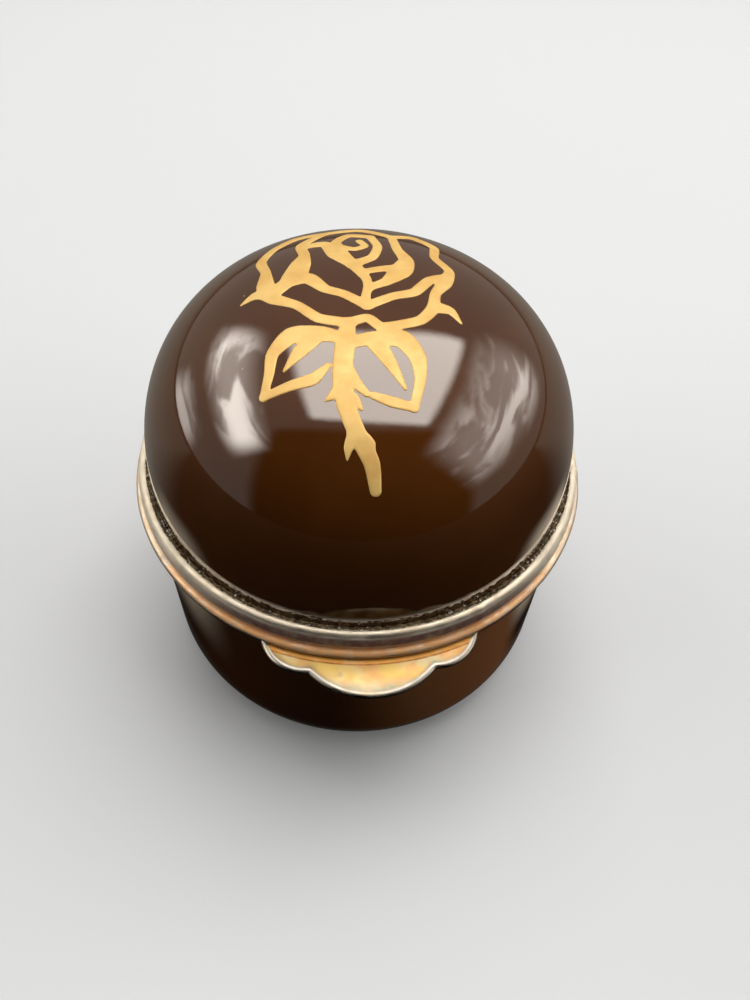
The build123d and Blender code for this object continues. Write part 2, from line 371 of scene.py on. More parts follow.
def gilt_brass(name, gilding, bloom, worn, zones=(), satin=0.28):
    """Worn gilding over brass: satin metal in two shades, with coloured blooms and brown tarnish.

    Gilding is the pair of shades, bloom the colour that shows through where it is thin, and worn how
    much of it shows. Each zone is (a function that gives its share, its colour, how far it hides the
    metal, how much roughness it adds); zones add tarnish and wear, and some add painted shade and
    painted highlights. Satin is the roughness where the metal is smoothest.
    """
    material, tree, shader = new_material(name)
    shade = mix(tree, spread(tree, noise(tree, 3.6, 2.0), 0.35, 0.65), *gilding)
    thin = spread(tree, noise(tree, 2.6, 2.0), 0.60 - 0.22 * worn, 0.78 - 0.16 * worn)
    colour = mix(tree, thin, shade, bloom)
    tarnish = spread(tree, noise(tree, 1.5, 2.0), 0.58, 0.80, 0.0, 0.45)
    colour = mix(tree, tarnish, colour, (0.20, 0.115, 0.075))
    spots = spread(tree, cells(tree, 1.3), 0.05, 0.10, 0.6, 0.0)
    chosen = maths(tree, "GREATER_THAN", cells(tree, 1.3, "Color"), 0.80)
    colour = mix(tree, product(tree, spots, chosen), colour, (0.10, 0.055, 0.025))
    roughness = spread(tree, noise(tree, 1.6, 2.0), 0.3, 0.75, satin, satin * 1.5)
    metal = maths(tree, "SUBTRACT", 1.0, product(tree, tarnish, 0.5))
    for share, tint, hides, rough in zones:
        patchy = spread(tree, noise(tree, 1.2, 2.0), 0.25, 0.6, 0.5, 1.0)
        # each zone's share: tarnish and wear, and in some zones painted shade and painted highlights
        wear_and_painted_light = product(tree, share(tree), patchy)
        colour = mix(tree, wear_and_painted_light, colour, tint)
        roughness = maths(tree, "ADD", roughness, product(tree, wear_and_painted_light, rough))
        metal = maths(tree, "SUBTRACT", metal, product(tree, wear_and_painted_light, hides))
    scratches = bump(tree, noise(tree, 0.7, 1.0, stretch=(1.0, 1.0, 3.0)), 0.0015)
    dents = bump(tree, noise(tree, 2.8, 1.0), 0.03, below=scratches)
    feed(tree, shader, Base_Color=colour, Roughness=roughness, Metallic=metal, Normal=dents)
    return material


def at_height(tree, start, full, fall, end, front=1.0, sides=0.12):
    """1 between two heights, fading to 0 outside them. Front and sides are its shares there."""
    spot = coordinates(tree)
    rise = spread(tree, spot["Z"], start * MM, full * MM)
    drop = spread(tree, spot["Z"], fall * MM, end * MM, 1.0, 0.0)
    share = spread(tree, spot["Y"], -23.0 * MM, -12.0 * MM, front, sides)
    return product(tree, rise, drop, share)


def in_crevice(tree):
    """The shoulder of the lower bead and the foot of the upper one: tarnish, and painted bounced light
    round the front.
    """
    return at_height(tree, ledge - 0.46, ledge - 0.20, ledge + 0.35, ledge + 0.8)


def painted_dark_wall(tree):
    """The side of the upper bead, darkened round the front: a painted dark reflection."""
    return at_height(tree, ledge + 0.5, ledge + 0.9, ledge + 1.9, ledge + 2.15)


def painted_shoulder_highlight(tree):
    """The upper part of the upper bead round the front, made paler: a painted highlight that widens its
    shine.
    """
    return at_height(tree, ledge + 1.7, ledge + 2.1, ledge + 2.7, ledge + 2.8, sides=0.0)


def painted_side_wall_light(tree):
    """The wall of the upper bead round the sides and the back, made paler: painted light from the sides.
    """
    return at_height(tree, ledge + 0.1, ledge + 0.5, ledge + 2.7, ledge + 2.8, front=0.0, sides=1.0)


def from_axis(tree, start, full, fall, end):
    """1 between two distances from the box's axis, fading to 0 outside them."""
    flat = vector_maths(tree, "MULTIPLY", place(tree), (1.0, 1.0, 0.0))
    radius = vector_maths(tree, "LENGTH", flat, output="Value")
    rise = spread(tree, radius, start * MM, full * MM)
    drop = spread(tree, radius, fall * MM, end * MM, 1.0, 0.0)
    return product(tree, rise, drop)


def painted_tab_root_reflection(tree):
    """The strip where the thumb tab comes out from under the bead, painted orange: the bead's painted
    reflection and shade on the tab.
    """
    edge = lower_bead[0] + lower_size
    return from_axis(tree, edge - 1.0, edge - 0.9, edge + 0.38, edge + 0.48)


def painted_tab_shadow_line(tree):
    """The dark line that ends that strip: a painted shadow of the bead's edge on the tab."""
    edge = lower_bead[0] + lower_size
    return from_axis(tree, edge + 0.34, edge + 0.44, edge + 0.46, edge + 0.60)


def at_tab_front(tree):
    """The paler, most rubbed part of the thumb tab."""
    edge = -ring_low[1]
    return from_axis(tree, edge - 1.9, edge - 0.7, 40, 41)


def cement():
    """Dark, gritty bed with grains of metal filings and solder, whose pale colour is partly a painted
    glint.
    """
    material, tree, shader = new_material("mount_cement")
    stops = [(0.35, (0.035, 0.023, 0.010)), (0.75, (0.26, 0.18, 0.085))]
    colour = ramp(tree, noise(tree, 0.5, 4.0), stops)
    grain = cells(tree, 0.34)
    chosen = maths(tree, "GREATER_THAN", cells(tree, 0.34, "Color"), 0.42)
    crowded = spread(tree, noise(tree, 3.5, 2.0), 0.42, 0.60)
    # pale grains: metal filings, with their glints partly painted into the colour
    glint = product(tree, spread(tree, grain, 0.30, 0.44, 1.0, 0.0), chosen, crowded)
    colour = mix(tree, glint, colour, (0.82, 0.76, 0.64))
    pits = bump(tree, maths(tree, "SUBTRACT", 1.0, grain), 0.06)
    roughness = maths(tree, "SUBTRACT", 0.72, product(tree, glint, 0.40))
    metal = product(tree, glint, 0.35)
    feed(tree, shader, Base_Color=colour, Metallic=metal, Normal=pits, Roughness=roughness)
    return material


def gold_lustre():
    """Fired gold paint: satin, with a little brush texture and worn patches."""
    material, tree, shader = new_material("gold_lustre")
    stops = [(0.3, (0.61, 0.355, 0.10)), (0.7, (0.71, 0.465, 0.155))]
    colour = ramp(tree, noise(tree, 2.6, 4.0), stops)
    roughness = spread(tree, noise(tree, 0.9, 3.0), 0.3, 0.7, 0.42, 0.56)
    brush = bump(tree, noise(tree, 0.3, 2.0), 0.002)
    feed(tree, shader, Base_Color=colour, Metallic=0.15, Roughness=roughness, Normal=brush)
    return material


chocolate = glaze("chocolate_glaze", (0.052, 0.0145, 0.0022), (0.072, 0.0215, 0.0036))
milk_glaze = glaze("milk_glaze", (0.74, 0.71, 0.64), (0.82, 0.79, 0.73), 0.07)
bare = bisque()
silver = (0.64, 0.59, 0.50)
champagne = (0.60, 0.50, 0.36)
gold = (0.60, 0.42, 0.18)
peach = (0.62, 0.41, 0.24)
bead_gilding = gilt_brass(
    "bead_gilding", (champagne, silver), peach, 0.35,
    [
        # tarnish in the crevice, with a painted glow of bounced light round the front
        (in_crevice, (0.68, 0.36, 0.15), 0.6, 0.2),
        # painted dark reflection on the front of the upper bead's wall
        (painted_dark_wall, (0.25, 0.145, 0.125), 0.4, 0.2),
        # painted highlight widening the shine on the front of the upper bead
        (painted_shoulder_highlight, (0.75, 0.68, 0.56), 0.08, 0.05),
        # painted light on the upper bead's wall round the sides and the back
        (painted_side_wall_light, (0.80, 0.72, 0.57), 0.5, 0.2),
    ],
    satin=0.42,
)
tab_gilding = gilt_brass(
    "tab_gilding", ((0.44, 0.31, 0.10), (0.43, 0.38, 0.24)), (0.46, 0.26, 0.11), 0.7,
    [
        # painted reflection and shade of the bead on the tab
        (painted_tab_root_reflection, (0.52, 0.24, 0.05), 0.3, 0.2),
        # painted shadow line of the bead's edge on the tab
        (painted_tab_shadow_line, (0.26, 0.09, 0.02), 0.3, 0.2),
        (at_tab_front, (0.42, 0.40, 0.29), 0.0, 0.2),
    ],
)
edge_gilding = gilt_brass(
    "edge_gilding", ((0.27, 0.255, 0.225), (0.31, 0.29, 0.25)), (0.28, 0.24, 0.17), 0.2
)
hinge_gilding = gilt_brass("hinge_gilding", (champagne, gold), peach, 0.5)
mount_bed = cement()
lustre = gold_lustre()


# ---------------------------------------------------------------- porcelain

def glaze_ripple(depth, phase):
    """Slow, shallow hollows left by the mould and the glaze, always inward."""
    def ripple(angles, radius, height):
        wave = np.sin(3 * angles + phase + height / 9) + np.sin(5 * angles - height / 6 + 2 * phase)
        fade = min(1.0, radius / 12)
        return -depth * fade * (1 + wave / 2) / 2, 0.0
    return ripple


def build_dome():
    """The glazed dome, white inside, with a softly rounded rim."""
    radius, top, rim = dome_high[0], dome_high[2], dome_low[2]
    outer = superellipse(radius, top - dome_widest, 72)
    inner_radius = radius - porcelain_wall
    inner = superellipse(inner_radius, top - dome_widest - porcelain_wall, 56)[::-1]
    rim_outer = arc((radius - 0.5, rim + 0.5), 0.5, 0, -90, 6)
    rim_inner = arc((inner_radius + 0.5, rim + 0.5), 0.5, -90, -180, 6)
    outline = outer + rim_outer + rim_inner + inner
    points, faces, steps = turned(outline, closed=False, ripple=glaze_ripple(0.03, 0.7))
    dome = add_piece(
        "glazed_dome", "lid", [chocolate, milk_glaze], points, faces, ["lid_dome"]
    )
    paint(dome, steps, [(len(outer) + len(rim_outer), 1)])


def build_cup():
    """The glazed cup, white inside, standing on a bare foot ring."""
    radius, rim = cup_high[0], cup_high[2]
    foot_outer = radius - foot_rounding
    foot_inner = foot_outer - foot_width
    bore = radius - porcelain_wall
    inner_corner = (bore - cup_inner_rounding, cup_floor + cup_inner_rounding)
    under = [(0.0, foot_recess), (6.0, foot_recess), (foot_inner - 1.0, foot_recess)]
    under += arc((foot_inner - 0.35, foot_recess - 0.35), 0.35, 90, 0, 5)
    foot = arc((foot_inner + 0.3, 0.3), 0.3, 180, 270, 5)
    foot += arc((foot_outer - 0.15, 0.25), 0.25, 270, 315, 3)
    side = arc((foot_outer, foot_rounding), foot_rounding, -84, 0, 28)
    side += [(radius, foot_rounding + (rim - foot_rounding) * step / 12) for step in range(1, 12)]
    lip_out = arc((radius - 0.7, rim - 0.7), 0.7, 0, 90, 6)
    lip_in = arc((bore + 0.7, rim - 0.7), 0.7, 90, 180, 6)
    inside = [(bore, rim - 4), (bore, cup_floor + cup_inner_rounding + 3)]
    inside += arc(inner_corner, cup_inner_rounding, 0, -90, 18)
    inside += [(inner_corner[0] * (1 - step / 4), cup_floor) for step in range(1, 5)]
    outline = under + foot + side + lip_out + lip_in + inside
    outline[-1] = (0.0, cup_floor)
    points, faces, steps = turned(outline, closed=False, ripple=glaze_ripple(0.025, 2.1))
    cup = add_piece(
        "glazed_cup", "base", [bare, chocolate, milk_glaze], points, faces, ["base_bowl"]
    )
    zone_side = len(under) + len(foot) - 1
    paint(cup, steps, [(0, 0), (zone_side, 1), (len(under + foot + side + lip_out), 2)])


# ---------------------------------------------------------------- mounts

def hand_finish(depth, phase, lumps=()):
    """The slight unevenness of rings rolled and filed by hand, always inward.

    Lumps are drops of solder on the upper bead, as (angle in degrees, half width in radians, height).
    """
    def ripple(angles, radius, height):
        wave = np.sin(7 * angles + phase) + np.sin(17 * angles + 3 * phase + height)
        out, up = -depth * (1 + wave / 2) / 2, 0.0
        for angle, half, rise in lumps:
            on_bead = 1.0 if height > ledge + 0.8 and radius > mount_bore + 0.01 else 0.0
            away = (angles - radians(angle) % (2 * pi)) / half
            drop = rise * on_bead * np.exp(-(away**2))
            out, up = out + 0.6 * drop, up + 0.5 * drop
        return out, up
    return ripple


def build_lid_mount():
    """The lid's mount: a flat seat, and a wall rolled with a small bead and a taller one above it."""
    low = mount_low[2]
    outline = [(mount_bore, low + sheet), (lid_opening + 0.15, low + sheet)]
    outline += [(lid_opening, low + sheet - 0.15), (lid_opening, low + 0.1), (lid_opening + 0.1, low)]
    outline += arc(lower_bead, lower_size, -90, 85, 20)
    outline += arc_through(upper_bead_foot, upper_bead_side, upper_bead_shoulder, 22)
    outline += arc_through(upper_bead_shoulder, upper_bead_crown, upper_bead_brim, 14)[1:]
    solder = [(-11.0, 0.011, 0.22), (-63.6, 0.018, 0.12)]
    points, faces, _ = turned(outline, ripple=hand_finish(0.03, 0.4, solder), segments=900)
    add_piece("beaded_mount", "lid", bead_gilding, points, faces, ["lid_bezel"], sharp=50)


def tab_plan():
    """The tab ring's outline in plan: the tab's three lobes at -Y, then the ring round to the back."""
    def at(angle, radius):
        return (radius * sin(radians(angle)), -radius * cos(radians(angle)))
    ring = ring_high[0]
    tip = at(tip_angle, ring - 0.1)
    cusp = at(cusp_angle, cusp_radius)
    lobe = at(side_lobe_angle, side_lobe_radius)
    left_tip, left_cusp, left_lobe = [(-x, y) for x, y in (tip, cusp, lobe)]
    plan = arc_through(left_tip, left_lobe, left_cusp, 22)
    plan += arc_through(left_cusp, (0.0, ring_low[1]), cusp, 40)[1:]
    plan += arc_through(cusp, lobe, tip, 22)[1:]
    steps = 200
    plan += [at(tip_angle + (360 - 2 * tip_angle) * step / steps, ring) for step in range(1, steps)]
    return plan


def build_tab_ring():
    """The flat ring under the beads and its thumb tab, with a rounded edge and a faintly dished face."""
    plan = np.array(tab_plan())
    ahead, behind = np.roll(plan, -1, 0), np.roll(plan, 1, 0)
    along = ahead - behind
    along /= np.linalg.norm(along, axis=1)[:, None]
    inward = np.stack([-along[:, 1], along[:, 0]], 1)
    for _ in range(2):
        inward = inward + np.roll(inward, 1, 0) + np.roll(inward, -1, 0)
        inward /= np.linalg.norm(inward, axis=1)[:, None]
    on_tab = np.clip((np.linalg.norm(plan, axis=1) - ring_high[0]) / 1.2, 0, 1)
    low, top = ring_low[2], ring_high[2]
    dish = 0.035
    # (distance in from the edge, height above the underside, share of the dish)
    section = [(1.5, 0.60, 1.0), (1.0, 0.60, 1.0), (0.62, 0.60, 0.6), (0.50, 0.597, 0.2)]
    section += [(0.38, 0.58, 0.0), (0.22, 0.53, 0.0), (0.09, 0.45, 0.0), (0.02, 0.36, 0.0)]
    section += [(0.0, 0.26, 0.0), (0.03, 0.15, 0.0), (0.12, 0.05, 0.0), (0.26, 0.0, 0.0), (1.5, 0.0, 0.0)]
    loops = []
    for distance, height, share in section:
        spot = plan + inward * distance
        loops.append(np.column_stack([spot, low + height * (top - low) / sheet - dish * share * on_tab]))
    hole = plan / np.linalg.norm(plan, axis=1)[:, None] * lid_opening
    loops.append(np.column_stack([hole, np.full(len(plan), low)]))
    loops.append(np.column_stack([hole, np.full(len(plan), top)]))
    points = np.vstack(loops)
    count, faces, steps = len(plan), [], []
    for index in range(len(loops)):
        here, there = index * count, ((index + 1) % len(loops)) * count
        for k in range(count):
            n = (k + 1) % count
            faces.append([here + k, here + n, there + n, there + k])
            steps.append(index)
    gildings = [tab_gilding, edge_gilding]
    ring = add_piece("thumb_tab_ring", "lid", gildings, points, faces, ["tab_ring"], sharp=50)
    paint(ring, steps, [(0, 0), (2, 1), (11, 0)])


def build_base_mount():
    """The slim mount round the cup's mouth, and the band that guides the lid."""
    low, top, outer, bore = seat_low[2], seat_high[2], seat_high[0], guide_high[0]
    skirt = cup_high[0] + 0.15
    corners = [(bore, top, 0), (outer, top, 0.2), (outer, low, 0.3), (skirt, low, 0.1)]
    corners += [(skirt, top - sheet, 0), (bore, top - sheet, 0)]
    points, faces, _ = turned(rounded(corners), ripple=hand_finish(0.02, 1.9))
    add_piece("cup_mount", "base", hinge_gilding, points, faces, ["base_bezel"], sharp=50)


def build_cement():
    """The gritty bed in the groove between dome and mount, smeared on to the brim at the front."""
    low, high = box_mm("lid_cement")
    radius = dome_high[0]
    steps, segments = 7, 1400
    smear = 0.12
    smeared = mount_bore + smear
    outline = [(radius - porcelain_wall, low[2]), (mount_bore, low[2])]
    outline += [(smeared + (radius - smeared) * step / steps, high[2]) for step in range(steps + 1)]
    outline += [(radius, dome_low[2]), (radius - porcelain_wall, dome_low[2])]
    random = np.random.default_rng(7)
    grit = random.uniform(-0.25, 0.52, (steps + 1, segments))
    for shift, axis in ((1, 1), (-1, 1), (2, 1), (1, 0)):
        grit = (2 * grit + np.roll(grit, shift, axis)) / 3
    grit[:3] += np.array([[0.16], [0.14], [0.06]])
    turn = iter(grit)

    def lumps(angles, radius, height):
        if height < high[2] - 0.01:
            return 0.0, 0.0
        aside = np.clip(1 + np.sin(angles), 0, 1)
        across = (radius - dome_high[0]) / (smeared - dome_high[0])
        return -0.10 * aside * across, next(turn)
    points, faces, _ = turned(outline, ripple=lumps, segments=segments)
    add_piece("groove_cement", "lid", mount_bed, points, faces, ["lid_cement"], sharp=60)


# ---------------------------------------------------------------- hinge

def lay_along_x(points):
    """Move a piece turned about Z so that its axis is the hinge's."""
    return [(height, y + hinge[1] / MM, x + hinge[2] / MM) for x, y, height in points]


def barrel(start, end, bore):
    """One hinge barrel with rounded ends, over this stretch of X."""
    outer = (barrel_high[2] - barrel_low[2]) / 2
    corners = [(bore, start, 0.05), (outer, start, 0.18), (outer, end, 0.18), (bore, end, 0.05)]
    points, faces, _ = turned(rounded(corners), segments=64)
    return lay_along_x(points), faces


def joined(parts):
    """Several (points, faces) as one."""
    points, faces = [], []
    for more_points, more_faces in parts:
        faces += [[corner + len(points) for corner in face] for face in more_faces]
        points += more_points
    return points, faces


def build_barrels():
    """Three barrels on the base, two on the lid, and the peened pin through them."""
    end, lid_end = barrel_high[0], lid_barrel_high[0]
    end_start, lid_start = lid_end + knuckle_gap, centre_knuckle_half + knuckle_gap
    cup_spans = [(-end, -end_start), (-centre_knuckle_half, centre_knuckle_half), (end_start, end)]
    lid_spans = [(-lid_end, -lid_start), (lid_start, lid_end)]
    for name, body, spans, bore, node in (
        ("cup_barrels", "base", cup_spans, fixed_bore, "base_knuckles"),
        ("lid_barrels", "lid", lid_spans, running_bore, "lid_knuckles"),
    ):
        points, faces = joined([barrel(start, stop, bore) for start, stop in spans])
        add_piece(name, body, hinge_gilding, points, faces, [node], sharp=50)
    head, tip = (pin_high[2] - pin_low[2]) / 2, pin_high[0]
    peened = [(0.0, -tip), (head * 0.55, -tip + 0.05), (head * 0.9, -tip + 0.17)]
    peened += [(head, -tip + 0.32), (head, -end)]
    rod = [(pin_radius, -end), (pin_radius, end)]
    outline = peened + rod + [(radius, -height) for radius, height in peened[::-1]]
    points, faces, _ = turned(outline, closed=False, segments=48)
    points = lay_along_x(points)
    add_piece("peened_pin", "base", hinge_gilding, points, faces, ["hinge_pin"], sharp=50)


def build_seat(name, body, node):
    """A solder seat: the CAD shape with its corners melted a little."""
    source = frame["nodes"][node]
    piece = bpy.data.objects.new(name, source.data.copy())
    scene.collection.objects.link(piece)
    piece.data.materials.clear()
    remesh = piece.modifiers.new("even", "REMESH")
    remesh.mode = "VOXEL"
    remesh.voxel_size = 0.09 * MM
    melt = piece.modifiers.new("melt", "SMOOTH")
    melt.iterations = 6
    melt.factor = 0.5
    view = bpy.context.evaluated_depsgraph_get()
    piece.data = bpy.data.meshes.new_from_object(piece.evaluated_get(view))
    piece.modifiers.clear()
    piece.data.materials.append(hinge_gilding)
    piece.data.shade_smooth()
    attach(piece, body)
    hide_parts(node)


# ---------------------------------------------------------------- the rose

# Brush strokes of the rose, each a line of (across, along, width) in millimetres over the glaze from
# the dome's pole. Along is positive towards the hinge. They were set after the photographed
# rose and follow it closely, so this isn't a generic design.
ROSE = {
    "outer_left": [
        (-1.6, -3.3, 1.3), (-4.3, -2.5, 1.2), (-6.3, -0.5, 1.1), (-8.7, 1.0, 1.5), (-9.4, 3.0, 1.9),
        (-9.5, 5.6, 1.1), (-10.1, 8.0, 1.2), (-8.9, 10.8, 1.1), (-6.6, 13.0, 1.2), (-3.4, 13.4, 1.0),
    ],
    "outer_right": [
        (-1.6, -3.3, 1.3), (0.2, -2.7, 1.1), (1.6, -3.9, 1.2), (5.0, -3.0, 1.2), (6.5, -1.2, 1.3),
        (7.0, 1.0, 1.1), (8.2, 3.0, 1.5), (8.9, 5.2, 1.1), (7.7, 7.6, 1.0), (8.0, 10.4, 1.1),
        (5.9, 12.5, 1.1), (3.6, 11.9, 1.0),
    ],
    "outer_back": [(-3.4, 13.4, 1.0), (0.3, 14.2, 1.1), (3.6, 11.9, 1.0)],
    "left_tip": [(-8.9, 1.8, 2.0), (-10.4, 1.9, 1.2), (-11.8, 1.0, 0.3)],
    "right_tip": [(6.9, -1.0, 1.6), (8.2, -1.3, 1.1), (9.1, -2.8, 0.3)],
    "front_left": [
        (-8.7, 1.6, 1.6), (-7.0, 3.3, 1.8), (-5.2, 3.4, 1.7), (-3.6, 1.6, 1.2), (-1.8, 0.7, 1.1),
        (0.3, -1.0, 1.2),
    ],
    "front_right": [(0.3, -1.0, 1.2), (2.8, 0.3, 1.1), (4.9, 1.0, 1.2), (6.6, 3.0, 1.2), (8.4, 3.8, 1.4)],
    "fold_left": [
        (-6.6, 3.8, 2.6), (-6.0, 5.9, 2.2), (-5.6, 7.8, 1.2), (-5.9, 10.3, 1.2), (-3.4, 13.4, 0.9),
    ],
    "fold_right": [
        (0.1, -0.7, 1.0), (0.5, 1.4, 0.9), (2.4, 2.6, 1.3), (3.9, 4.4, 2.3), (4.6, 6.3, 1.6),
        (3.9, 8.6, 1.1), (3.6, 11.9, 1.0),
    ],
    "inner_left": [
        (-5.8, 9.8, 1.1), (-3.5, 9.9, 1.3), (-2.7, 7.4, 1.2), (-0.8, 5.4, 1.4), (0.4, 3.0, 1.0),
        (0.5, 1.4, 0.9),
    ],
    "inner_right": [(0.2, 4.1, 0.9), (2.0, 4.6, 1.0), (3.9, 4.9, 1.2)],
    "bud_left": [
        (-0.8, 5.4, 1.3), (-1.6, 7.7, 1.0), (-2.3, 10.2, 1.1), (-0.9, 12.0, 1.0), (1.3, 11.6, 1.0),
    ],
    "bud_right": [(-0.8, 5.4, 1.3), (1.2, 6.7, 1.1), (1.9, 9.0, 1.0), (1.3, 11.6, 1.0)],
    "heart": [(-1.9, 9.0, 0.9), (-0.5, 8.4, 0.8), (0.6, 9.1, 0.8), (0.1, 10.3, 0.8)],
    "stem": [
        (-1.6, -3.3, 1.4), (-2.0, -6.0, 1.9), (-2.4, -9.4, 1.8), (-2.2, -12.2, 1.7), (-1.2, -15.2, 1.6),
        (-0.1, -17.6, 1.5), (0.2, -20.0, 1.1),
    ],
    "thorn_high_left": [(-2.4, -10.6, 1.6), (-3.3, -11.3, 0.9), (-4.0, -11.8, 0.2)],
    "thorn_high_right": [(-2.2, -11.4, 1.6), (-1.4, -11.8, 1.0), (-0.8, -12.8, 0.3)],
    "thorn_low_left": [(-1.4, -15.0, 1.6), (-2.1, -16.1, 0.9), (-2.3, -17.2, 0.2)],
    "thorn_low_right": [(-0.8, -15.6, 1.6), (-0.1, -15.9, 0.8), (0.1, -16.4, 0.3)],
    "left_leaf_top": [
        (-1.9, -5.3, 1.3), (-4.2, -4.5, 1.9), (-6.8, -4.4, 2.1), (-8.6, -6.2, 1.3), (-9.0, -8.4, 1.0),
        (-9.6, -10.6, 0.8),
    ],
    "left_leaf_low": [(-9.6, -10.6, 0.8), (-7.0, -9.9, 1.1), (-5.0, -9.5, 1.3), (-3.6, -8.2, 0.6)],
    "left_rib": [(-4.8, -5.0, 1.8), (-6.1, -6.4, 1.5), (-7.6, -8.3, 0.3)],
    "right_leaf_top": [
        (-1.8, -5.8, 1.5), (0.6, -5.3, 1.7), (3.2, -5.4, 2.2), (4.5, -7.4, 1.7), (4.6, -9.8, 1.1),
        (3.9, -12.6, 0.9),
    ],
    "right_leaf_low": [(3.9, -12.6, 0.9), (1.9, -12.1, 1.1), (0.3, -11.5, 0.8)],
    "right_leaf_side": [(-1.9, -8.6, 1.2), (-1.2, -10.2, 1.1), (-0.3, -11.3, 0.7)],
    "right_rib": [(0.9, -6.0, 1.9), (2.0, -8.2, 1.3), (3.2, -10.8, 0.4)],
}
rose_grid = 0.09  # spacing of the grid that the strokes are drawn on
stroke_blend = 0.22  # how far two strokes flow together where they meet
stroke_slack = 0.34  # how much a stroke bends at its points: 0 is straight, 0.5 is round
paint_height = 0.07
paint_edge = 0.2


def smooth_stroke(stroke, steps=10):
    """The stroke's points joined by a taut curve, with its width."""
    knots = np.array(stroke, float)
    knots = np.vstack([2 * knots[0] - knots[1], knots, 2 * knots[-1] - knots[-2]])
    line = []
    for a, b, c, d in zip(knots, knots[1:], knots[2:], knots[3:]):
        leave, arrive = stroke_slack * (c - a), stroke_slack * (d - b)
        for t in np.linspace(0, 1, steps, endpoint=False):
            bend = leave * (t - 2 * t**2 + t**3) + arrive * (t**3 - t**2)
            line.append(b + (c - b) * (3 * t**2 - 2 * t**3) + bend)
    line.append(knots[-2])
    line = np.array(line)
    line[:, 2] = np.maximum(line[:, 2], 0.12)
    return line


def distance_to_strokes(across, along):
    """How far each point is from the paint: negative inside it, with strokes flowing together."""
    total = None
    for stroke in ROSE.values():
        line = smooth_stroke(stroke)
        nearest = np.full(across.shape, 9.0)
        for (x0, y0, w0), (x1, y1, w1) in zip(line[:-1], line[1:]):
            dx, dy = x1 - x0, y1 - y0
            t = np.clip(((across - x0) * dx + (along - y0) * dy) / (dx * dx + dy * dy), 0, 1)
            gap = np.hypot(across - x0 - t * dx, along - y0 - t * dy) - (w0 + (w1 - w0) * t) / 2
            nearest = np.minimum(nearest, gap)
        if total is None:
            total = nearest
            continue
        share = np.clip(0.5 + 0.5 * (total - nearest) / stroke_blend, 0, 1)
        total = total * (1 - share) + nearest * share - stroke_blend * share * (1 - share)
    return total


def on_dome(across, along, lift):
    """Lay flat drawing points on the dome, lifted off it by some millimetres."""
    profile = np.array(superellipse(dome_high[0], dome_high[2] - dome_widest, 3000))
    step = np.diff(profile, axis=0)
    reach = np.concatenate([[0], np.cumsum(np.hypot(step[:, 0], step[:, 1]))])
    slope = np.gradient(profile, reach, axis=0)
    distance = np.hypot(across, along)
    radius = np.interp(distance, reach, profile[:, 0])
    height = np.interp(distance, reach, profile[:, 1])
    out = -np.interp(distance, reach, slope[:, 1])
    up = np.interp(distance, reach, slope[:, 0])
    safe = np.maximum(distance, 1e-9)
    flat = radius + out * lift
    return np.column_stack([across / safe * flat, along / safe * flat, height + up * lift])


def build_rose():
    """The rose as a low, round-edged coat of paint that follows the dome."""
    across = np.arange(-12.6, 10.6, rose_grid)
    along = np.arange(-21.2, 15.8, rose_grid)
    grid_x, grid_y = np.meshgrid(across, along)
    depth = distance_to_strokes(grid_x, grid_y)
    inside = depth < 0
    spots, index_of, faces = [], {}, []

    def corner(row, column):
        key = (row, column)
        if key not in index_of:
            index_of[key] = len(spots)
            spots.append((across[column], along[row], -depth[row, column]))
        return index_of[key]

    def crossing(first, second):
        key = (min(first, second), max(first, second))
        if key not in index_of:
            a, b = depth[key[0]], depth[key[1]]
            t = a / (a - b)
            x = across[key[0][1]] + t * (across[key[1][1]] - across[key[0][1]])
            y = along[key[0][0]] + t * (along[key[1][0]] - along[key[0][0]])
            index_of[key] = len(spots)
            spots.append((x, y, 0.0))
        return index_of[key]

    touched = inside[:-1, :-1] | inside[1:, :-1] | inside[:-1, 1:] | inside[1:, 1:]
    for row, column in np.argwhere(touched):
        row, column = int(row), int(column)
        ring = [(row, column), (row, column + 1), (row + 1, column + 1), (row + 1, column)]
        face = []
        for here, there in zip(ring, ring[1:] + ring[:1]):
            if inside[here]:
                face.append(corner(*here))
            if inside[here] != inside[there]:
                face.append(crossing(here, there))
        faces.append(face)
    spots = np.array(spots)
    crown = np.clip(spots[:, 2] / paint_edge, 0, 1)
    lift = paint_height * np.sqrt(crown * (2 - crown)) - 0.012
    top = on_dome(spots[:, 0], spots[:, 1], lift)
    under = on_dome(spots[:, 0], spots[:, 1], np.where(crown > 0, -0.05, -0.012))
    edge = np.where(crown > 0, np.arange(len(spots)) + len(spots), np.arange(len(spots)))
    back = [[int(edge[c]) for c in face[::-1]] for face in faces]
    points = [tuple(p) for p in top] + [tuple(p) for p in under]
    used = sorted({c for face in faces + back for c in face})
    renumber = {old: new for new, old in enumerate(used)}
    points = [points[old] for old in used]
    faces = [[renumber[c] for c in face] for face in faces + back]
    add_piece("gold_rose", "lid", lustre, points, faces)


# ---------------------------------------------------------------- kept CAD nodes

def dress(node, material):
    """Give a CAD node that stays in view a material."""
    piece = frame["nodes"][node]
    piece.data.materials.clear()
    piece.data.materials.append(material)


build_dome()
build_cup()
build_lid_mount()
build_tab_ring()
build_base_mount()
build_cement()
build_barrels()
build_seat("lid_solder_seat", "lid", "lid_hinge_bearer")
build_seat("cup_solder_seat", "base", "base_hinge_bearer")
build_rose()
for kept in ("guide_collar", "catch_spring", "catch_nib"):
    dress(kept, hinge_gilding)
dress("base_cement", mount_bed)


# ---------------------------------------------------------------- stage, light and camera

backdrop = (0.64, 0.64, 0.635)


